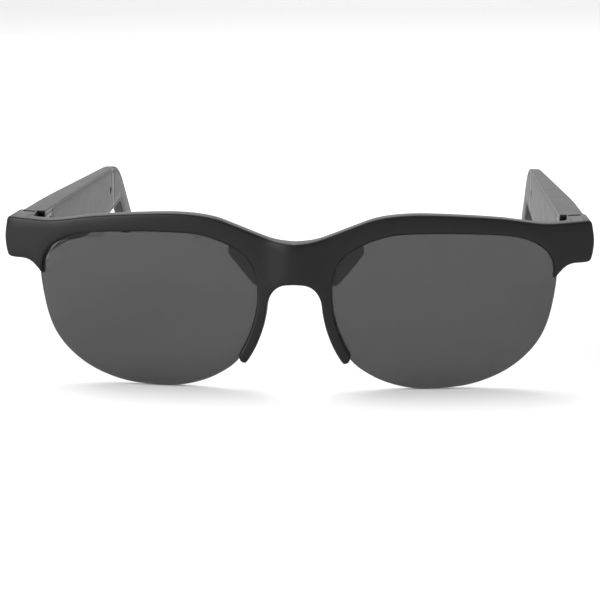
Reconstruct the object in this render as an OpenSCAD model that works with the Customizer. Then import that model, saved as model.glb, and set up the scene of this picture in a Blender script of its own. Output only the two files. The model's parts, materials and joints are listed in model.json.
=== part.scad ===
// Smart glasses: a half-rim front, two lenses and two folding temples that hold the electronics.
// X runs to the right of someone facing the front, Y back along the temples, Z up.
// The origin is the underside of the bridge, where the glasses rest on the nose.

/* [Front] */
// Radius of the front's outer face, seen from above
front_r = 300; // [260:10:360]
// Thickness of the front, outer face to inner face
front_t = 4.6; // [4.4:0.1:5]
// How far the lens edge enters the groove
groove_depth = 0.8; // [0.5:0.1:0.9]
// Outer face of the front to the outer face of the lens
lens_set_back = 1.3; // [1.1:0.1:1.4]
// Thickness of a lens
lens_t = 2; // [1.8:0.1:2.1]
// How far the middle of the bridge stands in front of the brow
bridge_rise = 1.3; // [0.8:0.1:1.5]
// Depth of the back face of the end pieces
end_piece_back = 22.2; // [22:0.1:22.3]

/* [Hinge] */
// Distance of each hinge axis from the middle
hinge_x = 66.4; // [66.3:0.1:66.5]
// Depth of the hinge axes
hinge_y = 22.4; // [22.4:0.1:22.5]
// Radius of the hinge pin
pin_r = 0.7; // [0.6:0.05:0.8]
// Outer radius of a knuckle
knuckle_r = 1.3; // [1.2:0.05:1.35]
// Height of one knuckle
knuckle_h = 2.5; // [2:0.1:2.5]

/* [Temple] */
// Thickness of a temple at its root
temple_t = 6.6; // [6.5:0.1:6.8]
// Thickness of a temple along its ear hook
hook_t = 3.4; // [3:0.1:3.5]
// Wall of the temple housing
wall = 1.2; // [1:0.1:1.3]
// Height of the temple's straight top edge
temple_top = 14.7; // [14.5:0.1:14.8]
// Bend of the ear hook, in degrees below the temple
hook_angle = 36; // [34:1:38]
// Half the width of the ear hook
hook_half = 4; // [3.8:0.1:4.1]
// Travel of the push buttons
button_travel = 0.5; // [0.3:0.1:0.5]

/* [Hidden] */

black = [0.14, 0.14, 0.145];
LEFT = -1;
RIGHT = 1;
spline_steps = 6;                                    // points on each stretch of a curve

// Plan of the temple, from its inner face outwards
inner_x = hinge_x - 0.7;                             // inner face of an open temple
outer_x = inner_x + temple_t;                        // outer face at the root
taper_start = 30;                                    // distance from the hinge where it thins
taper_end = 112;                                     // and where the ear hook's thickness begins
root_gap = 0.1;                                      // hinge axis to the temple's front face
cover_t = 1.2;                                       // thickness of the inner cover
cover_x = inner_x + cover_t;                         // outer face of the cover

// Places along the temple, as distances from the hinge axis
tip_joint = 106;                                     // where the ear tip meets the housing
cavity_start = 13;
cavity_end = 96;
cover_start = 9.4;
cover_end = 101.5;
screw_places = [11.2, 99];
board_span = [14, 44];
battery_span = [48, 76];
speaker_span = [80, 91];
mesh_span = [82, 89];
button_span = [22, 30];
pad_places = [62, 68];                               // the two charge pads

// Places across the temple
button_x = [inner_x + 2.3, inner_x + 4.7];
button_clear = 0.15;
button_base = 1.5;                                   // lowest point of the button
button_head = 4.4;                                   // its inner end, below the switch

// Heights of the hinge
knuckle_gap = 0.1;
hinge_base = 4.6;                                    // underside of the lowest knuckle
hinge_top = hinge_base + 3 * knuckle_h + 2 * knuckle_gap;
pocket_r = knuckle_r + 0.3;                          // clear space around the knuckles
pocket_clear = 0.7;                                  // clear space above and below them
leaf_x = [hinge_x + 0.7, hinge_x + 1.9];             // the leaves, 1.2 thick
leaf_len = 8;
running_gap = 0.04;                                  // radial clearance of the pin in the temple

// ---------------------------------------------------------------- curves
// One point of a Catmull-Rom curve through b and c
function curve_point(a, b, c, d, t) =
    0.5 * (2 * b + (c - a) * t + (2 * a - 5 * b + 4 * c - d) * t * t
        + (3 * b - a - 3 * c + d) * t * t * t);

// A smooth closed curve through the points
function closed_curve(pts) = let (n = len(pts)) [
    for (i = [0:n - 1], k = [0:spline_steps - 1])
        curve_point(pts[(i + n - 1) % n], pts[i], pts[(i + 1) % n], pts[(i + 2) % n],
            k / spline_steps)];

// A smooth open curve through the points, ends included
function open_curve(pts) = let (n = len(pts)) [
    for (i = [0:n - 2], k = [0:spline_steps - 1])
        curve_point(pts[max(i - 1, 0)], pts[i], pts[i + 1], pts[min(i + 2, n - 1)],
            k / spline_steps),
    pts[n - 1]];

// Points on an arc, from angle a0 to a1
function arc(centre, r, a0, a1, n) =
    [for (i = [0:n]) let (a = a0 + (a1 - a0) * i / n) centre + r * [cos(a), sin(a)]];

function unit(v) = v / norm(v);

// A counter-clockwise closed outline moved inwards by d
function inset(pts, d) = let (n = len(pts)) [
    for (i = [0:n - 1]) let (v = unit(pts[(i + 1) % n] - pts[(i + n - 1) % n]))
        pts[i] + d * [-v[1], v[0]]];

function reversed(pts) = [for (i = [len(pts) - 1:-1:0]) pts[i]];

// ---------------------------------------------------------------- outlines
// Lens edge, seen from the front, counter-clockwise from the hook
lens_points = [[64.2, 1], [63.5, 6], [60.4, 9.7], [54, 12.2], [43, 13.05], [32, 13.2],
    [23, 12.6], [15, 9.7], [10.2, 5.7], [8.4, -0.5], [9.2, -9], [13.2, -18.2], [19, -22.9],
    [26, -25.5], [33, -26.2], [43, -25.3], [52, -21.9], [58.6, -16.4], [62.3, -9.5]];
lens_edge = closed_curve(lens_points);

// Right half of the front's outer edge: brow, end piece and hook, then leg and nose arch
brow_top = open_curve([[0, 10.2], [5.7, 11], [14.5, 14.3], [20, 16.2], [27, 17.1], [36, 17],
    [49.4, 16.1], [60, 14.7], [66, 14.8], [71.9, 15.2]]);
end_side = open_curve([[72.5, 14.7], [73.2, 10.2], [72.7, 6], [71.6, 4.9], [68, 4.6],
    [66.2, 3.8], [64.8, 2.4], [64, 1.5], [63.2, 1.6]]);
nose_side = open_curve([[14.1, -18.1], [13.5, -19.3], [12.6, -19.8], [11.6, -19.3], [9.4, -15.5],
    [7.8, -11.3], [6.9, -7.4], [6.4, -4.1], [5, -1.6], [2.9, -0.3], [0, 0]]);
front_half = concat(brow_top, end_side, nose_side);

// Side view of the right temple: [distance from the hinge axis, height]
hook_dir = [cos(hook_angle), -sin(hook_angle)];
hook_up = [sin(hook_angle), cos(hook_angle)];
hook_centre = [136.9, -7.1];                          // centre of the rounded end
bend_start = 105;                                    // where the top edge begins to turn down
bend_r = 30;
temple_side = concat(
    [[root_gap, temple_top]],
    arc([bend_start, temple_top - bend_r], bend_r, 90, 90 - hook_angle, 10),
    arc(hook_centre, hook_half, 90 - hook_angle, -90 - hook_angle, 16),
    [[118.1, 2.1], [117.7, 2.33], [117.2, 2.3]],      // the bend under the ear hook
    open_curve([[98, 0.9], [84, -0.1], [76, -0.7], [66, -0.6], [55, -0.2], [41, 1.1], [30, 2.2],
        [16, 2.8], [root_gap, 2.9]]));
temple_outline = reversed(temple_side);

// ---------------------------------------------------------------- shared shapes
// Mirrors its child to the left side when side is LEFT
module on_side(side) {
    mirror([side == LEFT ? 1 : 0, 0, 0]) children();
}

// Slab between two depths below the front's curved outer face
module curved_slab(from, to, height) {
    translate([0, front_r, -height / 2]) difference() {
        cylinder(r = front_r - from, h = height, $fn = 180);
        translate([0, 0, -1]) cylinder(r = front_r - to, h = height + 2, $fn = 180);
    }
}

// Outline in X and Z, pushed back along Y
module push_back(depth) {
    translate([0, depth, 0]) rotate([90, 0, 0]) linear_extrude(depth + 2) children();
}

// Box given by its span in X, in distance from the hinge, and in Z
module temple_box(x, s, z) {
    translate([x[0], hinge_y + s[0], z[0]]) cube([x[1] - x[0], s[1] - s[0], z[1] - z[0]]);
}

// Side view outline, pushed out along X between two planes
module temple_slice(pts, x0, x1) {
    translate([x0, hinge_y, 0]) rotate([90, 0, 90]) linear_extrude(x1 - x0) polygon(pts);
}

// Plan of the temple with its thickness cut down by skin on the outside
module temple_plan(x0, skin) {
    translate([0, hinge_y, -30]) linear_extrude(60)
        polygon([[x0, -1], [outer_x - skin, -1], [outer_x - skin, taper_start],
            [inner_x + hook_t - skin, taper_end], [inner_x + hook_t - skin, 150], [x0, 150]]);
}

// Upright cylinder on the right hinge axis
module on_axis(r, z0, z1) {
    translate([hinge_x, hinge_y, z0]) cylinder(r = r, h = z1 - z0, $fn = 32);
}

function knuckle_z(level) = hinge_base + level * (knuckle_h + knuckle_gap);

// ---------------------------------------------------------------- front
module front_half_frame() {
    difference() {
        union() {
            intersection() {
                push_back(20) difference() {
                    polygon(front_half);
                    polygon(inset(lens_edge, groove_depth));
                }
                curved_slab(0, front_t, 60);
            }
            end_piece();
            bridge_front();
        }
        intersection() {
            push_back(20) polygon(lens_edge);
            curved_slab(lens_set_back, lens_set_back + lens_t, 80);
        }
        on_axis(pocket_r, hinge_base - pocket_clear, hinge_top + pocket_clear);
        temple_box([leaf_x[0] - 0.7, leaf_x[1]], [-leaf_len, 0], [hinge_base, hinge_top]);
        hinge_screw_shapes();
        translate(top_slot_at) cube(top_slot_size);
    }
}

// Rounded rise on the face of the bridge, as wide as the bridge and no deeper than the front
rise_half = 8.5;                                     // half its width
rise_r = (rise_half * rise_half + bridge_rise * bridge_rise) / (2 * bridge_rise);
module bridge_front() {
    intersection() {
        push_back(front_t) polygon(front_half);
        translate([0, rise_r - bridge_rise, -30]) cylinder(r = rise_r, h = 60, $fn = 180);
        translate([-1, -10, -30]) cube([rise_half + 1, 20, 60]);
    }
}

// Shallow slot across the top of an end piece
top_slot_at = [67.6, 18.8, 14.3];
top_slot_size = [3, 1.2, 2];

// Block that carries the hinge behind the outer end of the brow
end_piece_base = 4.6;
end_piece_points = [[73.2, 9.2], [73.2, 14], [72.9, 21.2], [72.2, end_piece_back],
    [66.9, end_piece_back], [66.9, 12], [63.6, 10.6], [66, 8]];
module end_piece() {
    intersection() {
        translate([0, 0, end_piece_base]) linear_extrude(14) polygon(end_piece_points);
        push_back(30) polygon(front_half);
    }
}

module front_frame() {
    color(black) for (side = [LEFT, RIGHT]) on_side(side) front_half_frame();
}

module lens(side) {
    color([0.45, 0.45, 0.46, 0.55]) on_side(side) intersection() {
        push_back(20) polygon(lens_edge);
        curved_slab(lens_set_back, lens_set_back + lens_t, 80);
    }
}

// Soft pad glued to the back of the front beside the bridge
pad_top = [14.5, 6.7, 7.5];
pad_foot = [9.2, 6.6, 1];
pad_r = 2.4;
module nose_pad(side) {
    color([0.2, 0.2, 0.2]) on_side(side) difference() {
        hull() for (p = [pad_top, pad_foot]) translate(p) sphere(r = pad_r, $fn = 32);
        curved_slab(-5, front_t, 60);
    }
}

// ---------------------------------------------------------------- hinge
module front_hinge(side) {
    color([0.62, 0.62, 0.64]) on_side(side) difference() {
        union() {
            temple_box(leaf_x, [-leaf_len, -2], [hinge_base, hinge_top]);
            for (level = [0, 2]) {
                on_axis(knuckle_r, knuckle_z(level), knuckle_z(level) + knuckle_h);
                temple_box([hinge_x, leaf_x[1]], [-2, -0.6],
                    [knuckle_z(level), knuckle_z(level) + knuckle_h]);
            }
        }
        on_axis(pin_r, hinge_base - 1, hinge_top + 1);
        hinge_screw_shapes();
    }
}

module temple_hinge(side) {
    color([0.62, 0.62, 0.64]) on_side(side) difference() {
        union() {
            temple_box(leaf_x, [2, leaf_len], [hinge_base, hinge_top]);
            on_axis(knuckle_r, knuckle_z(1), knuckle_z(1) + knuckle_h);
            temple_box([hinge_x, leaf_x[1]], [0.6, 2], [knuckle_z(1), knuckle_z(1) + knuckle_h]);
        }
        on_axis(pin_r + running_gap, hinge_base - 1, hinge_top + 1);
    }
}

pin_head_r = 1.1;
pin_head_h = 0.5;
module hinge_pin(side) {
    color("silver") on_side(side) {
        on_axis(pin_r, hinge_base, hinge_top);
        on_axis(pin_head_r, hinge_top, hinge_top + pin_head_h);
    }
}

// Two screws hold the front leaf in its slot
hinge_screw_y = hinge_y - 5.4;
hinge_screw_z = [hinge_base + 1.8, hinge_top - 1.8];
hinge_screw_r = 0.6;
module hinge_screw_shapes() {
    for (z = hinge_screw_z) translate([leaf_x[0] - 0.7, hinge_screw_y, z]) rotate([0, 90, 0]) {
        cylinder(r = hinge_screw_r, h = 4, $fn = 24);
        cylinder(r = 1, h = 0.7, $fn = 24);
    }
}

module hinge_screws(side) {
    color("silver") on_side(side) difference() {
        hinge_screw_shapes();
        for (z = hinge_screw_z) drive_slot(leaf_x[0] - 0.7, hinge_screw_y, z);
    }
}

// Slot for a screwdriver in a screw head whose face is at x
slot_depth = 0.25;
slot_width = 0.3;
module drive_slot(x, y, z) {
    translate([x - 1 + slot_depth, y - 2, z - slot_width / 2]) cube([1, 4, slot_width]);
}

// ---------------------------------------------------------------- temple housing
module temple_blank(x0, skin) {
    intersection() {
        temple_slice(temple_outline, x0, outer_x);
        temple_plan(x0, skin);
    }
}

module along_range(from, to) {
    intersection() {
        children();
        temple_box([inner_x - 1, outer_x + 1], [from, to], [-20, 20]);
    }
}

module cavity() {
    along_range(cavity_start, cavity_end) intersection() {
        temple_slice(inset(temple_outline, wall), cover_x - 0.1, outer_x);
        temple_plan(cover_x - 0.1, wall);
    }
}

module cover_blank() {
    along_range(cover_start, cover_end)
        temple_slice(inset(temple_outline, 0.6), inner_x, cover_x);
}

module button_slot(clear) {
    temple_box([button_x[0] - clear, button_x[1] + clear],
        [button_span[0] - clear, button_span[1] + clear], [-5, button_head]);
}

module shell(side) {
    color(black) on_side(side) difference() {
        along_range(-1, tip_joint) temple_blank(inner_x, 0);
        cover_blank();
        cavity();
        on_axis(pocket_r, hinge_base - pocket_clear, hinge_top + pocket_clear);
        temple_box([leaf_x[0] - 0.7, leaf_x[1]], [0, leaf_len], [hinge_base, hinge_top]);
        button_slot(button_clear);
        speaker_slot();
        cover_screw_shapes();
        tip_core_shape();
        mic_port();
    }
}

module cover(side) {
    color(black) on_side(side) difference() {
        cover_blank();
        cover_screw_shapes();
        charge_pad_shapes();
    }
}

cover_screw_z = 8;
module cover_screw_shapes() {
    for (s = screw_places) translate([inner_x + 0.2, hinge_y + s, cover_screw_z])
        rotate([0, 90, 0]) {
            cylinder(r = 1, h = 0.5, $fn = 24);
            cylinder(r = 0.5, h = 2.2, $fn = 24);
        }
}

module cover_screws(side) {
    color("silver") on_side(side) difference() {
        cover_screw_shapes();
        for (s = screw_places) drive_slot(inner_x + 0.2, hinge_y + s, cover_screw_z);
    }
}

module ear_tip(side) {
    color(black) on_side(side) difference() {
        along_range(tip_joint, 150) temple_blank(inner_x, 0);
        tip_core_shape();
    }
}

// Straight wire down the ear hook, which stiffens it
core_r = 0.6;
core_start = [103.4, 11.8];
core_len = 30;
core_angle = 28.7;
module tip_core_shape() {
    translate([inner_x + hook_t / 2, hinge_y + core_start[0], core_start[1]])
        rotate([-90 - core_angle, 0, 0]) cylinder(r = core_r, h = core_len, $fn = 24);
}

module tip_core(side) {
    color("silver") on_side(side) tip_core_shape();
}

// ---------------------------------------------------------------- electronics
module battery(side) {
    color([0.75, 0.76, 0.78]) on_side(side)
        temple_box([cover_x + 0.3, cover_x + 2.3], battery_span, [2.6, 12]);
}

module board(side) {
    color([0.1, 0.35, 0.2]) on_side(side)
        temple_box([cover_x + 0.4, cover_x + 1.4], board_span, [5.4, 11.9]);
}

module speaker(side) {
    color([0.3, 0.3, 0.32]) on_side(side)
        temple_box([cover_x + 0.2, cover_x + 1.7], speaker_span, [4, 9]);
}

speaker_slot_x = [cover_x + 0.4, cover_x + 1.6];
module speaker_slot() {
    temple_box(speaker_slot_x, mesh_span, [-5, 4]);
}

module speaker_mesh(side) {
    color([0.35, 0.35, 0.36]) on_side(side) intersection() {
        difference() {
            temple_slice(inset(temple_outline, 0.3), speaker_slot_x[0], speaker_slot_x[1]);
            temple_slice(inset(temple_outline, 0.8), speaker_slot_x[0] - 1, speaker_slot_x[1] + 1);
        }
        speaker_slot();
    }
}

mic_s = 17;
module mic_port() {
    translate([cover_x + 2.8, hinge_y + mic_s, 0]) cylinder(r = 0.4, h = 6, $fn = 24);
}

module microphone(side) {
    color([0.8, 0.75, 0.5]) on_side(side)
        temple_box([cover_x + 1.8, cover_x + 3.8], [mic_s - 1.5, mic_s + 1.5], [4.1, 5.1]);
}

module antenna(side) {
    color([0.8, 0.5, 0.3]) on_side(side)
        temple_box([cover_x + 1.4, cover_x + 3.4], board_span, [12.3, 12.5]);
}

module flex_cable(side) {
    color([0.8, 0.45, 0.1]) on_side(side)
        temple_box([cover_x + 0.4, cover_x + 1.6], [board_span[1], speaker_span[1]],
            [12.2, 12.4]);
}

pad_radius = 1.3;
pad_z = 2.6;                                         // height of the charge pads
module charge_pad_shapes() {
    for (s = pad_places) translate([inner_x, hinge_y + s, pad_z]) rotate([0, 90, 0])
        cylinder(r = pad_radius, h = cover_t, $fn = 32);
}

module charge_pads(side) {
    color([0.85, 0.7, 0.3]) on_side(side) charge_pad_shapes();
}

module button(side) {
    color([0.18, 0.18, 0.18]) on_side(side)
        temple_box(button_x, button_span, [button_base, button_head]);
}

module switch_block(side) {
    color([0.7, 0.7, 0.7]) on_side(side)
        temple_box([cover_x + 1.6, cover_x + 3.2], [24.5, 27.5],
            [button_head + button_travel + 0.1, 6.4]);
}

// ---------------------------------------------------------------- nodes
module part_of_pair(name, side) {
    if (name == "lens") lens(side);
    if (name == "nose_pad") nose_pad(side);
    if (name == "front_hinge") front_hinge(side);
    if (name == "hinge_pin") hinge_pin(side);
    if (name == "hinge_screws") hinge_screws(side);
    if (name == "shell") shell(side);
    if (name == "cover") cover(side);
    if (name == "temple_hinge") temple_hinge(side);
    if (name == "ear_tip") ear_tip(side);
    if (name == "tip_core") tip_core(side);
    if (name == "battery") battery(side);
    if (name == "board") board(side);
    if (name == "speaker") speaker(side);
    if (name == "speaker_mesh") speaker_mesh(side);
    if (name == "microphone") microphone(side);
    if (name == "antenna") antenna(side);
    if (name == "flex_cable") flex_cable(side);
    if (name == "charge_pads") charge_pads(side);
    if (name == "cover_screws") cover_screws(side);
    if (name == "button") button(side);
    if (name == "switch") switch_block(side);
}

pair_names = ["lens", "nose_pad", "front_hinge", "hinge_pin", "hinge_screws", "shell", "cover",
    "temple_hinge", "ear_tip", "tip_core", "battery", "board", "speaker", "speaker_mesh",
    "microphone", "antenna", "flex_cable", "charge_pads", "cover_screws", "button", "switch"];

front_frame();
for (name = pair_names) {
    part_of_pair(name, LEFT);
    part_of_pair(name, RIGHT);
}
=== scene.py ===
import json
import math

import bmesh
import bpy
import numpy as np
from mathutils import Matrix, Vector, geometry


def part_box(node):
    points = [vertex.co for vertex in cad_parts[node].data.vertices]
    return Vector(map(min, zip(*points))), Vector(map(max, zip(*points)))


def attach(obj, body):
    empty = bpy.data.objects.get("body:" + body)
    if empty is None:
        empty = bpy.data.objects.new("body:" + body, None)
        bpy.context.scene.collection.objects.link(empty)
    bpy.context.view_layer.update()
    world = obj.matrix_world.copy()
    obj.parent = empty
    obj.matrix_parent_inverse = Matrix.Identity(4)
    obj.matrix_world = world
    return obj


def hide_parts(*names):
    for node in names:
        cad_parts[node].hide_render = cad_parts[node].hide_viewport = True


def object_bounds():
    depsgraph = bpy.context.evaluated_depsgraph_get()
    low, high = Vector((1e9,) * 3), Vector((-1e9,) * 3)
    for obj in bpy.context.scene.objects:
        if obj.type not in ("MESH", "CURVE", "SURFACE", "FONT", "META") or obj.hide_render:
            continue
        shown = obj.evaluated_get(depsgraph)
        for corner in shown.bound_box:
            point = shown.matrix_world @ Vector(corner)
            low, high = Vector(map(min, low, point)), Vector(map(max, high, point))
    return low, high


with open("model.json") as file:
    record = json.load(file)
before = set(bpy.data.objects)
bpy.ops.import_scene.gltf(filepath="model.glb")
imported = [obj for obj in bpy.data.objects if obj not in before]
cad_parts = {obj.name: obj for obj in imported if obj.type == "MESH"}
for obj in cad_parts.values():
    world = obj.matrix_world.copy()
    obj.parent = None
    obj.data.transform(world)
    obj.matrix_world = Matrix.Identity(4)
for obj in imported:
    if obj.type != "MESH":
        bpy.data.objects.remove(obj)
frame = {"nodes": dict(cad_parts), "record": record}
cad_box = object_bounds()

MM = 0.001
SIDES = {"left": -1, "right": 1}

# ------------------------------------------------------------ sizes, in millimetres
# The front: outer face radius, thickness, groove and lens, as in the CAD frame
FRONT_R = 300
FRONT_T = 4.6
GROOVE = 0.8
LENS_SET_BACK = 1.3
LENS_T = 2.0
BRIDGE_HALF = 8.5           # half the width of the bridge's raised middle
BRIDGE_RISE = 1.4           # how far it stands in front of the brow
FRONT_ROUND = 0.7           # rounding of the front's outer edges
BACK_ROUND = 0.55           # and of its back edges
LENS_ROUND = 0.22           # rounding of the lens edge

# End pieces
LIP_X = 66.9                # inner side
END_BASE = 4.6              # underside
END_GAP = 0.3               # gap between their back and the temple
STEP_HALF = 0.3             # half the width of the step up to an end piece
TOP_SLOT_X = (67.6, 70.6)   # shallow slot in the top
TOP_SLOT_Y = (18.8, 20.0)
TOP_SLOT_BASE = 14.3

# Hinge and openings
POCKET_R = 1.6              # space around the hinge knuckles
POCKET_CLEAR = 0.7          # and above and below them
LEAF_REACH = 1.0            # how far a leaf's slot starts inside the pin's axis
FINE_GAP = 0.02             # gap round a part that is let into another
SEAM = 0.08                 # gap at a parting line
CUT_PAST = 3.0              # how far the slot's cutter runs past the surface
BELOW_TEMPLE = -5.0         # a height that is under the whole temple where it is cut
MESH_CLEAR = 0.2            # space above the speaker mesh
HOLE_CLEAR = 0.04           # gap round a screw or contact in the cover
HOLE_SPAN = (-1.0, 2.0)     # from before the inner face to behind the cover
HOLE_NODES = {"right_cover_screws": 1.0, "right_charge_pads": 1.3}     # radii

# Cover and button
COVER_INSET = 0.6           # from the temple's edge
COVER_ROUND = 0.12
RECESS_ROUND = 0.01
INNER_BAND = 0.1            # points this near the inner face belong to it
BUTTON_ROUND = (0.4, 0.1)   # below and above
SOFT_EDGE = 0.06            # bevel on the CAD parts' edges

# Nose pads
PAD_R = 2.4                 # radius of a pad's rounded ends
PAD_HALF = 4.2              # half the distance between them
PAD_Y = 6.7                 # depth of its middle line
PAD_LEAN = 39               # lean of its top away from the nose, in degrees
PAD_SPLIT = 4               # how sharply a ball is drawn out into two ends

# How finely the meshes are made
OUTLINE_STEP = 0.7          # spacing of points along an outline
INSET_STEP = 0.5            # and along an inset one
GRID_STEP = 1.6             # spacing of points inside a face
LENS_GRID = 2.4
BUTTON_GRID = 0.8
GRID_MARGIN = 0.6           # share of the spacing kept free along the edge
CURVE_STEPS = 12            # points on each stretch of a curve
FACE_TOLERANCE = 1e-7       # metres, to tell a lens face from its rounded edge
MERGE_TOLERANCE = 1e-7      # metres, between points that are one
CDT_TOLERANCE = 1e-6        # the same, in millimetres, when a face is filled

# Places read from the frame
HINGE = [c / MM for c in next(j for j in frame["record"]["behaviour"]["joints"]
                              if j["name"] == "right_temple_fold")["pos_m"]]
HINGE_X, HINGE_Y = HINGE[0], HINGE[1]


def mm_box(node):
    """Lowest and highest corners of a CAD node, in millimetres."""
    low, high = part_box(node)
    return [c / MM for c in low], [c / MM for c in high]


SHELL_LOW, SHELL_HIGH = mm_box("right_shell")
COVER_LOW, COVER_HIGH = mm_box("right_cover")
INNER_X = COVER_LOW[0]
OUTER_X = SHELL_HIGH[0]
TEMPLE_TOP = SHELL_HIGH[2]
TIP_JOINT = mm_box("right_ear_tip")[0][1] - HINGE_Y
END_BACK = SHELL_LOW[1] - END_GAP

# Temple: lengths are distances from the hinge
TEMPLE_ROUND = 1.0          # rounding of its outer edges
INNER_ROUND = 0.4           # and of its inner edges
RIM_GROOVE = ((0.8, 0.0), (0.9, 0.12), (1.05, 0.12), (1.15, 0.0))
ROOT_GAP = 0.1
HOOK_T = 3.4
TAPER_START, TAPER_END = 30, 112
TAPER_BLEND = 8.0           # length over which the taper sets in
TAPER_SAMPLES = 9
HOOK_ANGLE = 36
HOOK_HALF = 4.0
HOOK_CENTRE = (136.9, -7.1)
BEND_START, BEND_R = 105, 30

# Lens edge seen from the front: x and z of the right lens
LENS_POINTS = [(64.2, 1), (63.5, 6), (60.4, 9.7), (54, 12.2), (43, 13.05), (32, 13.2),
               (23, 12.6), (15, 9.7), (10.2, 5.7), (8.4, -0.5), (9.2, -9), (13.2, -18.2),
               (19, -22.9), (26, -25.5), (33, -26.2), (43, -25.3), (52, -21.9),
               (58.6, -16.4), (62.3, -9.5)]
LEG_END = 11                # the lens point at the foot of the leg

# Right half of the front's outer edge: brow, end piece and hook, nose leg and arch
BROW_TOP = [(0, 10.2), (5.7, 11), (14.5, 14.3), (20, 16.2), (27, 17.1), (36, 17),
            (49.4, 16.1), (60, 14.7), (66, 14.8), (71.9, 15.2)]
END_SIDE = [(72.5, 14.7), (73.2, 10.2), (72.7, 6), (71.6, 4.9), (68, 4.6),
            (66.2, 3.8), (64.8, 2.4), (64, 1.5)]
NOSE_SIDE = [(13.5, -19.3), (12.6, -19.8), (11.6, -19.3), (9.4, -15.5),
             (7.8, -11.3), (6.9, -7.4), (6.4, -4.1), (5, -1.6), (2.9, -0.3), (0, 0)]

# Underside of the temple from its bend: distance from the hinge, height
TEMPLE_BEND = [(118.1, 2.1), (117.7, 2.33), (117.2, 2.3)]
TEMPLE_UNDER = [(98, 0.9), (84, -0.1), (76, -0.7), (66, -0.6), (55, -0.2), (41, 1.1),
                (30, 2.2), (16, 2.8), (ROOT_GAP, 2.9)]


# ------------------------------------------------------------ curves
def spline(points, closed=False, steps=CURVE_STEPS):
    """A smooth curve through the points, the same one that the CAD outlines use."""
    p = [np.array(q, float) for q in points]
    n = len(p)
    out = []
    for i in range(n if closed else n - 1):
        if closed:
            a, b, c, d = (p[(i + k) % n] for k in (-1, 0, 1, 2))
        else:
            a, b, c, d = p[max(i - 1, 0)], p[i], p[i + 1], p[min(i + 2, n - 1)]
        for k in range(steps):
            t = k / steps
            out.append(0.5 * (2 * b + (c - a) * t + (2 * a - 5 * b + 4 * c - d) * t ** 2
                              + (3 * b - a - 3 * c + d) * t ** 3))
    if not closed:
        out.append(p[-1])
    return [tuple(q) for q in out]


def arc(centre, r, start, end, steps=24):
    """Points on an arc between two angles in degrees."""
    angles = [math.radians(start + (end - start) * i / steps) for i in range(steps + 1)]
    return [(centre[0] + r * math.cos(a), centre[1] + r * math.sin(a)) for a in angles]


def even(points, step=OUTLINE_STEP):
    """The closed outline with its points evenly spaced."""
    p = np.array(points + points[:1], float)
    run = np.concatenate([[0], np.cumsum(np.linalg.norm(np.diff(p, axis=0), axis=1))])
    count = int(run[-1] / step)
    at = np.linspace(0, run[-1], count, endpoint=False)
    return np.column_stack([np.interp(at, run, p[:, k]) for k in (0, 1)])


def inward(p):
    """Unit normals that point into a counter-clockwise outline."""
    v = np.roll(p, -1, axis=0) - np.roll(p, 1, axis=0)
    v /= np.linalg.norm(v, axis=1)[:, None]
    return np.column_stack([-v[:, 1], v[:, 0]])


def area(p):
    """Area of an outline, positive where it runs counter-clockwise."""
    x, y = p[:, 0], p[:, 1]
    return 0.5 * float(np.sum(x * np.roll(y, -1) - y * np.roll(x, -1)))


def grid_inside(p, step):
    """Grid points well inside an outline."""
    low, high = p.min(axis=0), p.max(axis=0)
    xs = np.arange(low[0] + step / 2, high[0], step)
    ys = np.arange(low[1] + step / 2, high[1], step)
    g = np.array([(x, y) for x in xs for y in ys])
    if not len(g):
        return g
    q = np.roll(p, -1, axis=0)
    inside = np.zeros(len(g), bool)
    for a, b in zip(p, q):
        cross = (a[1] > g[:, 1]) != (b[1] > g[:, 1])
        if cross.any():
            at = a[0] + (g[:, 1] - a[1]) * (b[0] - a[0]) / (b[1] - a[1] + 1e-12)
            inside ^= cross & (g[:, 0] < at)
    near = np.array([np.min(np.linalg.norm(p - k, axis=1)) for k in g])
    return g[inside & (near > GRID_MARGIN * step)]


# ------------------------------------------------------------ slabs with rounded edges
def edge_levels(front_round, back_round, rings, groove):
    """Distance from the edge, shift in depth and 1 at the back, for each loop round a plate."""
    levels = []
    for k in range(rings + 1):
        a = math.pi / 2 * (1 - k / rings)
        levels.append((front_round * (1 - math.cos(a)), front_round * (1 - math.sin(a)), 0))
    for k in range(rings + 1):
        a = math.pi / 2 * k / rings
        levels.append((back_round * (1 - math.cos(a)), -back_round * (1 - math.sin(a)), 1))
    return levels + [(inset, -deep, 1) for inset, deep in groove]


def join_loops(bm, loops):
    """Quads between each loop of points and the next."""
    count = len(loops[0])
    for a, b in zip(loops, loops[1:]):
        for i in range(count):
            j = (i + 1) % count
            bm.faces.new((a[i], a[j], b[j], b[i]))


def fill_face(bm, loop, outline, point_at, step, turn):
    """Triangles that close a plate's face, with grid points inside its outline."""
    count = len(loop)
    points = [Vector(k) for k in outline] + [Vector(k) for k in grid_inside(outline, step)]
    edges = [(i, (i + 1) % count) for i in range(count)]
    found = geometry.delaunay_2d_cdt(points, edges, [], 1, CDT_TOLERANCE)
    coords, faces, source = found[0], found[2], found[3]
    verts = []
    for k, c in enumerate(coords):
        own = [s for s in source[k] if s < count]
        verts.append(loop[own[0]] if own else bm.verts.new(point_at(c)))
    for f in faces:
        ring = [verts[i] for i in f]
        bm.faces.new(ring[::-1] if turn else ring)


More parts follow.
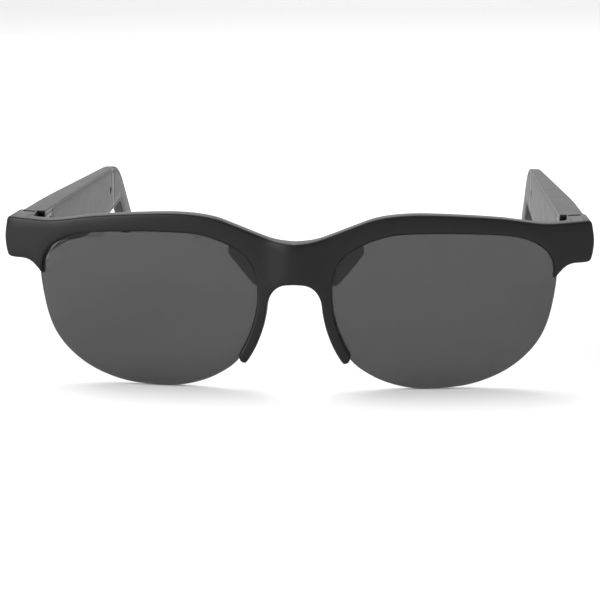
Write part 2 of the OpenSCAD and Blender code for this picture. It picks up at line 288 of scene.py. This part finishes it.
def slab(name, outline, place, depth, front_round, back_round, step=GRID_STEP, rings=5,
         groove=()):
    """A plate with rounded edges. place(u, v, w) gives the point at depth w of the plate.
    The groove is a list of (distance from the edge, depth) for a line round its back face."""
    p = even(outline)
    if area(p) < 0:
        p = p[::-1]
    n = inward(p)

    def point(u, v, shift, at_back):
        return Vector(place(u, v, depth(u, v) * at_back + shift)) * MM
    levels = edge_levels(front_round, back_round, rings, groove)
    bm = bmesh.new()
    loops = [[bm.verts.new(point(u, v, shift, at_back)) for u, v in p + n * inset]
             for inset, shift, at_back in levels]
    join_loops(bm, loops)
    fill_face(bm, loops[0], p + n * front_round, lambda c: point(c.x, c.y, 0, 0), step, False)
    fill_face(bm, loops[-1], p + n * levels[-1][0], lambda c: point(c.x, c.y, 0, 1), step, True)
    bmesh.ops.recalc_face_normals(bm, faces=bm.faces)
    return finish_mesh(name, bm)


def finish_mesh(name, bm):
    """Turns the working mesh into a smooth-shaded object."""
    mesh = bpy.data.meshes.new(name)
    bm.to_mesh(mesh)
    bm.free()
    for f in mesh.polygons:
        f.use_smooth = True
    obj = bpy.data.objects.new(name, mesh)
    bpy.context.collection.objects.link(obj)
    return obj


def apply_modifiers(obj):
    """Replaces the object's mesh by what its modifiers make of it."""
    bpy.context.view_layer.update()
    shape = obj.evaluated_get(bpy.context.evaluated_depsgraph_get())
    mesh = bpy.data.meshes.new_from_object(shape)
    obj.modifiers.clear()
    obj.data = mesh


def cut(obj, other):
    """Cuts another solid out of the object, and removes the other."""
    m = obj.modifiers.new("shape", "BOOLEAN")
    m.operation = "DIFFERENCE"
    m.solver = "EXACT"
    m.object = other
    apply_modifiers(obj)
    bpy.data.objects.remove(other)


def box_piece(low, high):
    """A plain box, used only to cut other pieces."""
    bm = bmesh.new()
    bmesh.ops.create_cube(bm, size=1)
    for v in bm.verts:
        v.co = Vector([(low[k] + (high[k] - low[k]) * (v.co[k] + 0.5)) * MM for k in range(3)])
    return finish_mesh("cutter", bm)


def round_bar(centre, r, low, high, axis="Z", segments=48):
    """An upright or crosswise cylinder between two planes, used only to cut other pieces."""
    bm = bmesh.new()
    bmesh.ops.create_cone(bm, cap_ends=True, segments=segments, radius1=r * MM,
                          radius2=r * MM, depth=(high - low) * MM)
    mid = (low + high) / 2
    for v in bm.verts:
        x, y, z = v.co
        if axis == "X":
            v.co = (z + mid * MM, x + centre[0] * MM, y + centre[1] * MM)
        else:
            v.co = (x + centre[0] * MM, y + centre[1] * MM, z + mid * MM)
    return finish_mesh("cutter", bm)


def mirror_piece(obj, name):
    """A copy of a right-hand piece for the left side."""
    mesh = obj.data.copy()
    for v in mesh.vertices:
        v.co.x = -v.co.x
    mesh.flip_normals()
    other = bpy.data.objects.new(name, mesh)
    bpy.context.collection.objects.link(other)
    return other


def soften(obj, width, angle=35):
    """Small bevels on an object's sharp edges, with its CAD mesh left as it is."""
    m = obj.modifiers.new("soft edges", "BEVEL")
    m.width = width * MM
    m.segments = 2
    m.limit_method = "ANGLE"
    m.angle_limit = math.radians(angle)
    m.harden_normals = False


# ------------------------------------------------------------ front
def front_depth(x, d):
    """Y of the surface d behind the front's curved outer face."""
    return FRONT_R - math.sqrt((FRONT_R - d) ** 2 - x * x)


def bridge_rise(x):
    """How far the rounded bridge stands forward of the brow's face."""
    if abs(x) > BRIDGE_HALF:
        return 0.0
    return BRIDGE_RISE * math.cos(math.pi / 2 * x / BRIDGE_HALF) ** 2


def on_front(u, v, w):
    """Point of the front at x = u, z = v and depth w."""
    forward = bridge_rise(u) * max(0.0, 1 - w / FRONT_T)
    return (u, front_depth(u, w) - forward, v)


def ease(value, low, high):
    """0 below low, 1 above high and a smooth rise between."""
    t = min(max((value - low) / (high - low), 0.0), 1.0)
    return t * t * (3 - 2 * t)


def front_thickness(x, z):
    """Depth of the front's back face, with the deep end pieces that hold the hinges."""
    at_end = FRONT_R - math.sqrt((FRONT_R - END_BACK) ** 2 + x * x)
    part = ease(abs(x), LIP_X - STEP_HALF, LIP_X + STEP_HALF)
    part *= ease(z, END_BASE - 2 * STEP_HALF, END_BASE)
    return FRONT_T + (at_end - FRONT_T) * part


def lens_edge():
    """The right lens's outline, counter-clockwise."""
    return np.array(spline(LENS_POINTS, closed=True))


def front_outline():
    """The front's whole outer edge, with the openings over the lenses."""
    edge = lens_edge()
    opening = edge + inward(edge) * GROOVE
    opening = [tuple(p) for p in opening[:LEG_END * CURVE_STEPS + 1]]
    half = spline(BROW_TOP) + spline(END_SIDE) + opening + spline(NOSE_SIDE)
    left = [(-x, z) for x, z in half[::-1]]
    return half + left[1:-1]


def cut_hinge_pocket(obj, side):
    """Clears the space for the hinge knuckles in an end piece or a temple."""
    low, high = mm_box("right_front_hinge")
    cut(obj, round_bar((side * HINGE_X, HINGE_Y), POCKET_R, low[2] - POCKET_CLEAR,
                       high[2] + POCKET_CLEAR))


def make_front():
    """The one-piece front, with pockets and slots for the hinges."""
    body = slab("front", front_outline(), on_front, front_thickness, FRONT_ROUND, BACK_ROUND)
    low, high = mm_box("right_front_hinge")
    for side in SIDES.values():
        cut_hinge_pocket(body, side)
        xs = sorted((side * (HINGE_X - LEAF_REACH), side * (high[0] + FINE_GAP)))
        cut(body, box_piece((xs[0], low[1] - FINE_GAP, low[2] - FINE_GAP),
                            (xs[1], HINGE_Y, high[2] + FINE_GAP)))
        xs = sorted(side * x for x in TOP_SLOT_X)
        cut(body, box_piece((xs[0], TOP_SLOT_Y[0], TOP_SLOT_BASE),
                            (xs[1], TOP_SLOT_Y[1], TOP_SLOT_BASE + CUT_PAST)))
    return body


# ------------------------------------------------------------ lenses and pads
def on_lens(u, v, w):
    """Point of the lens at x = u, z = v and depth w."""
    return (u, front_depth(u, LENS_SET_BACK + w), v)


def make_lens():
    """The right lens, curved like the front and let into its groove."""
    lens = slab("right lens", lens_edge().tolist(), on_lens, lambda u, v: LENS_T,
                LENS_ROUND, LENS_ROUND, step=LENS_GRID, rings=3)
    outer_r = FRONT_R - LENS_SET_BACK
    polish_faces(lens, outer_r * MM, (outer_r - LENS_T) * MM)
    return lens


def polish_faces(lens, outer_r, inner_r):
    """Exact normals on a lens's two cylindrical faces, so that reflections run smoothly."""
    axis = Vector((0, FRONT_R * MM, 0))
    normals = []
    for v in lens.data.vertices:
        away = Vector((v.co.x, v.co.y, 0)) - axis
        r = away.length
        normal = v.normal.copy()
        if abs(r - outer_r) < FACE_TOLERANCE:
            normal = away.normalized()
        elif abs(r - inner_r) < FACE_TOLERANCE:
            normal = -away.normalized()
        normals.append(normal)
    lens.data.normals_split_custom_set_from_vertices(normals)


def make_pad():
    """A soft oval pad, flattened where it meets the back of the front."""
    low, high = mm_box("right_nose_pad")
    centre = Vector([(a + b) / 2 for a, b in zip(low, high)])
    bm = bmesh.new()
    bmesh.ops.create_uvsphere(bm, u_segments=40, v_segments=28, radius=1)
    lean = math.radians(PAD_LEAN)
    for v in bm.verts:
        x, y, z = v.co * PAD_R
        z += PAD_HALF * max(-1.0, min(1.0, PAD_SPLIT * v.co.z))
        x, z = x * math.cos(lean) + z * math.sin(lean), z * math.cos(lean) - x * math.sin(lean)
        x, y, z = x + centre.x, y + PAD_Y, z + centre.z
        v.co = Vector((x, max(y, front_depth(x, FRONT_T)), z)) * MM
    bmesh.ops.remove_doubles(bm, verts=bm.verts, dist=MERGE_TOLERANCE)
    return finish_mesh("right pad", bm)


# ------------------------------------------------------------ temples
def temple_outline():
    """Side view of the temple: distance from the hinge, height."""
    top = [(ROOT_GAP, TEMPLE_TOP), (BEND_START, TEMPLE_TOP)]
    bend = arc((BEND_START, TEMPLE_TOP - BEND_R), BEND_R, 90, 90 - HOOK_ANGLE)
    tip = arc(HOOK_CENTRE, HOOK_HALF, 90 - HOOK_ANGLE, -90 - HOOK_ANGLE)
    return top + bend[1:] + tip + TEMPLE_BEND + spline(TEMPLE_UNDER)


def outer_face(s):
    """X of the temple's outer face, which thins smoothly towards the hook."""
    spread = np.linspace(s - TAPER_BLEND, s + TAPER_BLEND, TAPER_SAMPLES)
    part = np.clip((spread - TAPER_START) / (TAPER_END - TAPER_START), 0, 1).mean()
    return OUTER_X - (OUTER_X - INNER_X - HOOK_T) * part


def on_temple(u, v, w):
    """Point of the temple at distance u from the hinge, height v and depth w."""
    return (outer_face(u) - w, HINGE_Y + u, v)


def clip(points, low, high):
    """The part of a closed outline between two distances from the hinge."""
    for limit, keep in ((low, 1), (high, -1)):
        out = []
        for a, b in zip(points, points[1:] + points[:1]):
            ina, inb = (keep * (q[0] - limit) >= 0 for q in (a, b))
            if ina:
                out.append(a)
            if ina != inb:
                t = (limit - a[0]) / (b[0] - a[0])
                out.append((limit, a[1] + t * (b[1] - a[1])))
        points = out
    return points


def inset_outline(points, d):
    """The closed outline moved inward by d."""
    p = even(points, INSET_STEP)
    p = p if area(p) > 0 else p[::-1]
    return [tuple(q) for q in p + inward(p) * d]


def inner_plate(name, inset, span, thickness, rounding):
    """A plate in the temple's inner face, as the cover is."""
    outline = clip(inset_outline(temple_outline(), inset), *span)

    def place(u, v, w):
        return (INNER_X + w, HINGE_Y + u, v)
    return slab(name, outline, place, lambda u, v: thickness, rounding, rounding, rings=2)


def cut_plane(obj, s, keep_far, gap):
    """Cuts a temple across at a distance from the hinge and closes the cut."""
    bm = bmesh.new()
    bm.from_mesh(obj.data)
    y = (HINGE_Y + s + (gap if keep_far else -gap)) * MM
    found = bmesh.ops.bisect_plane(bm, geom=bm.verts[:] + bm.edges[:] + bm.faces[:],
                                   plane_co=(0, y, 0), plane_no=(0, 1, 0),
                                   clear_inner=keep_far, clear_outer=not keep_far)
    rim = [e for e in found["geom_cut"] if isinstance(e, bmesh.types.BMEdge)]
    bmesh.ops.contextual_create(bm, geom=rim)
    bmesh.ops.recalc_face_normals(bm, faces=bm.faces)
    mesh = bpy.data.meshes.new(obj.name)
    bm.to_mesh(mesh)
    bm.free()
    return mesh


def split_tip(whole):
    """Takes the ear tip off the whole temple, as a piece of its own."""
    tip_mesh = cut_plane(whole, TIP_JOINT, True, SEAM)
    whole.data = cut_plane(whole, TIP_JOINT, False, 0)
    tip = bpy.data.objects.new("right tip", tip_mesh)
    bpy.context.collection.objects.link(tip)
    return tip


def make_cover(housing):
    """The inner cover, with its recess in the housing and the holes through it."""
    span = (COVER_LOW[1] - HINGE_Y, COVER_HIGH[1] - HINGE_Y)
    thickness = COVER_HIGH[0] - COVER_LOW[0]
    recess = inner_plate("cutter", COVER_INSET - SEAM, (span[0] - SEAM, span[1] + SEAM),
                         thickness, RECESS_ROUND)
    for v in recess.data.vertices:
        if v.co.x < (INNER_X + INNER_BAND) * MM:
            v.co.x -= MM
    cut(housing, recess)
    cover = inner_plate("right inner cover", COVER_INSET, span, thickness, COVER_ROUND)
    before, behind = (INNER_X + x for x in HOLE_SPAN)
    for node, r in HOLE_NODES.items():
        low, high = mm_box(node)
        z = (low[2] + high[2]) / 2
        for y in (low[1] + r, high[1] - r):
            cut(cover, round_bar((y, z), r + HOLE_CLEAR, before, behind, "X"))
    return cover


def cut_openings(housing):
    """Openings in the housing for the hinge, the button and the speaker mesh."""
    cut_hinge_pocket(housing, SIDES["right"])
    low, high = mm_box("right_temple_hinge")
    cut(housing, box_piece((HINGE_X - LEAF_REACH, HINGE_Y, low[2] - FINE_GAP),
                           [c + FINE_GAP for c in high]))
    low, high = mm_box("right_button")
    cut(housing, box_piece((low[0] - SEAM, low[1] - SEAM, BELOW_TEMPLE),
                           (high[0] + SEAM, high[1] + SEAM, high[2])))
    low, high = mm_box("right_speaker_mesh")
    cut(housing, box_piece((low[0], low[1], BELOW_TEMPLE),
                           (high[0], high[1], high[2] + MESH_CLEAR)))


def make_temple():
    """Housing, ear tip and inner cover of the right temple."""
    housing = slab("right housing", temple_outline(), on_temple,
                   lambda u, v: outer_face(u) - INNER_X, TEMPLE_ROUND, INNER_ROUND,
                   groove=RIM_GROOVE)
    tip = split_tip(housing)
    cover = make_cover(housing)
    cut_openings(housing)
    return housing, tip, cover


def make_button():
    """A rounded push button in the underside of the temple."""
    low, high = mm_box("right_button")
    half = (high[0] - low[0]) / 2
    middle = (low[0] + high[0]) / 2
    outline = arc((middle, high[1] - half), half, 0, 180)
    outline += arc((middle, low[1] + half), half, 180, 360)

    def place(u, v, w):
        return (u, v, low[2] + w)
    return slab("right push button", outline, place, lambda u, v: high[2] - low[2],
                *BUTTON_ROUND, step=BUTTON_GRID)


# ------------------------------------------------------------ materials
BUMP_DEPTH = 0.00004        # metres
GRAIN_DETAIL = 4
BROAD_RATIO = 40            # how much wider the patches of tone are than the grain


def node_input(material, name, value):
    """Sets a value of a material's shader."""
    material.node_tree.nodes["Principled BSDF"].inputs[name].default_value = value


def new_material(name, colour, roughness, metallic=0.0):
    """A plain material, before its grain."""
    m = bpy.data.materials.new(name)
    m.use_nodes = True
    node_input(m, "Base Color", (*colour, 1))
    node_input(m, "Roughness", roughness)
    node_input(m, "Metallic", metallic)
    return m


def add_grain(m, scale, strength, spread, colour_spread=0.0):
    """Fine grain: a bump, a slight change of roughness and, if asked, of colour."""
    tree = m.node_tree
    shader = tree.nodes["Principled BSDF"]
    place = tree.nodes.new("ShaderNodeTexCoord")
    noise = tree.nodes.new("ShaderNodeTexNoise")
    noise.inputs["Scale"].default_value = scale
    noise.inputs["Detail"].default_value = GRAIN_DETAIL
    tree.links.new(place.outputs["Object"], noise.inputs["Vector"])
    bump = tree.nodes.new("ShaderNodeBump")
    bump.inputs["Strength"].default_value = strength
    bump.inputs["Distance"].default_value = BUMP_DEPTH
    tree.links.new(noise.outputs["Fac"], bump.inputs["Height"])
    tree.links.new(bump.outputs["Normal"], shader.inputs["Normal"])
    broad = tree.nodes.new("ShaderNodeTexNoise")
    broad.inputs["Scale"].default_value = scale / BROAD_RATIO
    tree.links.new(place.outputs["Object"], broad.inputs["Vector"])
    rough = tree.nodes.new("ShaderNodeMapRange")
    base = shader.inputs["Roughness"].default_value
    rough.inputs["To Min"].default_value = base - spread
    rough.inputs["To Max"].default_value = base + spread
    tree.links.new(broad.outputs["Fac"], rough.inputs["Value"])
    tree.links.new(rough.outputs["Result"], shader.inputs["Roughness"])
    tint = tree.nodes.new("ShaderNodeMixRGB")
    colour = shader.inputs["Base Color"].default_value[:]
    tint.inputs["Color1"].default_value = [c * (1 - colour_spread) for c in colour[:3]] + [1]
    tint.inputs["Color2"].default_value = [c * (1 + colour_spread) for c in colour[:3]] + [1]
    tree.links.new(broad.outputs["Fac"], tint.inputs["Fac"])
    tree.links.new(tint.outputs["Color"], shader.inputs["Base Color"])
    return m


def plastic(name, colour=(0.003, 0.003, 0.0032), roughness=0.33):
    """Dark moulded plastic with a faint sheen."""
    m = new_material(name, colour, roughness)
    node_input(m, "Specular IOR Level", 0.25)
    return add_grain(m, 9000, 0.3, 0.04, 0.06)


def metal(name, colour, roughness=0.32):
    """Metal with a fine grain."""
    m = new_material(name, colour, roughness, 1.0)
    return add_grain(m, 5000, 0.3, 0.06, 0.08)


def tinted_lens():
    """Smooth dark tint that lets some light through."""
    m = new_material("tinted lens", (0.008, 0.008, 0.0085), 0.05)
    node_input(m, "Alpha", 0.775)
    node_input(m, "Specular IOR Level", 0.32)
    node_input(m, "IOR", 1.5)
    return add_grain(m, 400, 0.0, 0.01, 0.1)


def make_materials():
    """Every material, by the short name used in the assembly."""
    return {
        "black": plastic("satin black plastic"),
        "tip": plastic("soft black plastic", roughness=0.42),
        "cover": plastic("inner cover plastic", (0.004, 0.004, 0.0042), 0.42),
        "button": plastic("button plastic", (0.008, 0.008, 0.008), 0.3),
        "rubber": add_grain(new_material("pad silicone", (0.015, 0.015, 0.0155), 0.5),
                            6000, 0.5, 0.05, 0.08),
        "lens": tinted_lens(),
        "steel": metal("blackened steel", (0.03, 0.03, 0.031), 0.4),
        "gold": metal("gold plate", (0.83, 0.6, 0.25), 0.25),
        "contact": metal("dark plated contact", (0.03, 0.03, 0.032), 0.35),
        "copper": metal("copper strip", (0.75, 0.4, 0.25)),
        "foil": metal("battery foil", (0.7, 0.7, 0.72), 0.4),
        "mesh": metal("black mesh", (0.07, 0.07, 0.07), 0.5),
        "green": add_grain(new_material("solder mask", (0.02, 0.13, 0.05), 0.4),
                           2500, 0.4, 0.05, 0.3),
        "amber": add_grain(new_material("flex film", (0.55, 0.26, 0.05), 0.3),
                           1500, 0.2, 0.05, 0.15),
    }


def dress(obj, material):
    """Gives an object a single material."""
    obj.data.materials.clear()
    obj.data.materials.append(material)


# ------------------------------------------------------------ assembly
LOOKS = {"front_hinge": "steel", "hinge_pin": "steel", "hinge_screws": "steel",
         "temple_hinge": "steel", "tip_core": "steel", "battery": "foil", "board": "green",
         "speaker": "black", "speaker_mesh": "mesh", "microphone": "gold",
         "antenna": "copper", "flex_cable": "amber", "charge_pads": "contact",
         "cover_screws": "steel", "switch": "steel"}


def build():
    """Makes each piece, puts it on its body and dresses the CAD nodes that stay."""
    looks = make_materials()
    front = make_front()
    dress(front, looks["black"])
    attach(front, "front")
    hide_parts("front_frame")

    housing, tip, cover = make_temple()
    made = [
        (make_lens(), "lens", "lens", "front", "lens_tint", "lens"),
        (make_pad(), "nose_pad", "rubber", "front", "pad_rubber", "pad"),
        (housing, "shell", "black", "temple", "temple_plastic", "housing"),
        (tip, "ear_tip", "tip", "temple", "tip_plastic", "tip"),
        (cover, "cover", "cover", "temple", "cover_plastic", "inner cover"),
        (make_button(), "button", "button", "button_cap", "button_plastic", "push button"),
    ]
    for piece, node, look, body, slot, label in made:
        for side in SIDES:
            own = piece if side == "right" else mirror_piece(piece, "left " + label)
            own.name = f"{side}_{label.replace(' ', '_')}_visual"
            dress(own, looks[look])
            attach(own, body if body == "front" else f"{side}_{body}")
            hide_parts(f"{side}_{node}")
    for node, look in LOOKS.items():
        for side in SIDES:
            part = frame["nodes"][f"{side}_{node}"]
            dress(part, looks[look])
            soften(part, SOFT_EDGE)


build()

# ------------------------------------------------------------ studio
# Sizes and places here are in metres
FLOOR_GAP = 0.0002          # between the floor and the lowest point
FLOOR_REACH = 4.0           # half its width, and how far it comes forward
FLOOR_DEPTH = 5.0           # how far back it stays flat
FLOOR_BEND = 1.2            # radius of the bend up into the backdrop
FLOOR_RISE = 3.0            # height of the backdrop
BEND_STEPS = 12
WORLD_STRENGTH = 0.7
AIM = (0, 0.02, 0)
# Name, place, size, power in watts and what it points at
LIGHTS = [("key light", (-0.7, -0.8, 0.3), 0.6, 7, AIM),
          ("top light", (-0.5, 0.7, 1.6), 2.0, 30, AIM),
          ("backdrop light", (0.0, 2.5, 4.0), 2.0, 60, (0, 6, 0.6))]
CAMERA_DISTANCE = 0.42
CAMERA_ELEVATION = 10.6     # degrees
CAMERA_TURN = 3.5           # degrees towards +X
CAMERA_LENS = 103.3         # millimetres, as is the sensor
SENSOR_WIDTH = 36
CAMERA_TARGET = (0.0014, 0.0, -0.0037)


def make_floor():
    """A pale floor that curves up into a backdrop far behind."""
    bm = bmesh.new()
    base = cad_box[0][2] - FLOOR_GAP
    turns = [math.pi / 2 * k / BEND_STEPS for k in range(1, BEND_STEPS + 1)]
    profile = [(-FLOOR_REACH, 0.0), (FLOOR_DEPTH, 0.0)]
    profile += [(FLOOR_DEPTH + FLOOR_BEND * math.sin(a), FLOOR_BEND * (1 - math.cos(a)))
                for a in turns]
    profile.append((FLOOR_DEPTH + FLOOR_BEND, FLOOR_RISE))
    rows = [[bm.verts.new((x, y, base + z)) for x in (-FLOOR_REACH, FLOOR_REACH)]
            for y, z in profile]
    for a, b in zip(rows, rows[1:]):
        bm.faces.new((a[0], a[1], b[1], b[0]))
    floor = finish_mesh("floor", bm)
    dress(floor, new_material("pale floor", (0.93, 0.93, 0.93), 0.9))


def make_light(name, place, size, power, target):
    """A round area light that points at its target."""
    data = bpy.data.lights.new(name, "AREA")
    data.shape = "DISK"
    data.size = size
    data.energy = power
    light = bpy.data.objects.new(name, data)
    light.location = place
    light.rotation_euler = (Vector(target) - Vector(place)).to_track_quat("-Z", "Y").to_euler()
    bpy.context.collection.objects.link(light)


def make_world():
    """Even white light from all round."""
    world = bpy.data.worlds.new("studio")
    world.use_nodes = True
    background = world.node_tree.nodes["Background"]
    background.inputs["Color"].default_value = (1, 1, 1, 1)
    background.inputs["Strength"].default_value = WORLD_STRENGTH
    bpy.context.scene.world = world


def make_camera():
    """A camera in front of the glasses, a little above and to one side."""
    data = bpy.data.cameras.new("camera")
    data.lens = CAMERA_LENS
    data.sensor_width = SENSOR_WIDTH
    camera = bpy.data.objects.new("camera", data)
    up, turn = math.radians(CAMERA_ELEVATION), math.radians(CAMERA_TURN)
    away = Vector((math.sin(turn) * math.cos(up), -math.cos(turn) * math.cos(up),
                   math.sin(up)))
    camera.location = Vector(CAMERA_TARGET) + away * CAMERA_DISTANCE
    camera.rotation_euler = (-away).to_track_quat("-Z", "Y").to_euler()
    bpy.context.collection.objects.link(camera)
    bpy.context.scene.camera = camera


make_floor()
make_world()
for light in LIGHTS:
    make_light(*light)
make_camera()
bpy.context.scene.view_settings.view_transform = "Standard"
